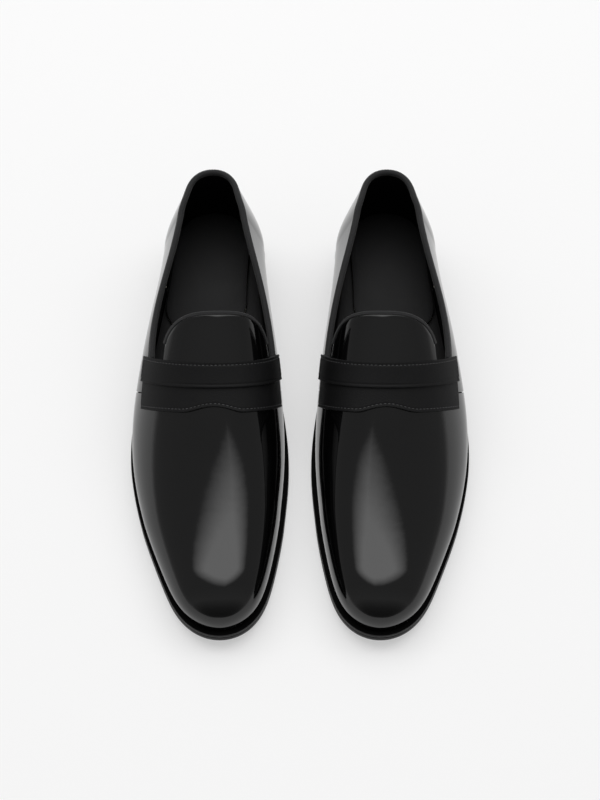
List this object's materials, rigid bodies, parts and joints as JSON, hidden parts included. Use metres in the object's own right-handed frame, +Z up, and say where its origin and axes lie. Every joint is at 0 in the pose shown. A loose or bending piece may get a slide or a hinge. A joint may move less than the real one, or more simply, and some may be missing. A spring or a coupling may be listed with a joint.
{
  "type": "loafer",
  "caption": "Slip-on dress loafers, left and right, with a low stacked heel, a round tongue and a layered saddle strap across the instep.",
  "frame": {"origin": "on the floor, at the middle of the pair's overall box", "axes": "+Z up from the floor, -Y the way the toes point, +X towards the wearer's left shoe; the shoes mirror each other about X = 0"},
  "size_m": [0.2162, 0.2997, 0.0962],
  "materials": {
    "patent_leather": "high gloss",
    "saddle_leather": "matte, fine grain",
    "ribbon": "matte ribbed weave",
    "lining_leather": "smooth, satin",
    "sole_leather": "burnished black edge",
    "heel_rubber": "matte",
    "insole_board": "fibre board",
    "cork": "granular",
    "foam": "open cell",
    "stiffener": "impregnated felt",
    "steel": "plain"
  },
  "bodies": {
    "root": {"right_outsole": "sole_leather", "right_welt": "sole_leather", "right_heel_top_piece": "heel_rubber", "right_heel_lift_lower": "sole_leather", "right_heel_lift_middle": "sole_leather", "right_heel_lift_upper": "sole_leather", "right_insole_board": "insole_board", "right_shank": "steel", "right_bottom_filler": "cork", "right_sock_lining": "lining_leather", "right_heel_pad": "foam", "right_heel_sock": "lining_leather", "right_heel_nail_1": "steel", "right_heel_nail_2": "steel", "right_heel_nail_3": "steel", "right_vamp": "patent_leather", "right_lateral_quarter": "patent_leather", "right_medial_quarter": "patent_leather", "right_back_strip": "patent_leather", "right_toe_puff": "stiffener", "right_heel_counter": "stiffener", "right_vamp_lining": "lining_leather", "right_lateral_lining": "lining_leather", "right_medial_lining": "lining_leather", "right_heel_grip": "lining_leather", "right_topline_binding": "ribbon", "right_tongue_piping": "ribbon", "right_saddle_lower": "saddle_leather", "right_saddle_upper": "saddle_leather", "left_outsole": "sole_leather", "left_welt": "sole_leather", "left_heel_top_piece": "heel_rubber", "left_heel_lift_lower": "sole_leather", "left_heel_lift_middle": "sole_leather", "left_heel_lift_upper": "sole_leather", "left_insole_board": "insole_board", "left_shank": "steel", "left_bottom_filler": "cork", "left_sock_lining": "lining_leather", "left_heel_pad": "foam", "left_heel_sock": "lining_leather", "left_heel_nail_1": "steel", "left_heel_nail_2": "steel", "left_heel_nail_3": "steel", "left_vamp": "patent_leather", "left_lateral_quarter": "patent_leather", "left_medial_quarter": "patent_leather", "left_back_strip": "patent_leather", "left_toe_puff": "stiffener", "left_heel_counter": "stiffener", "left_vamp_lining": "lining_leather", "left_lateral_lining": "lining_leather", "left_medial_lining": "lining_leather", "left_heel_grip": "lining_leather", "left_topline_binding": "ribbon", "left_tongue_piping": "ribbon", "left_saddle_lower": "saddle_leather", "left_saddle_upper": "saddle_leather"}
  },
  "joints": []
}
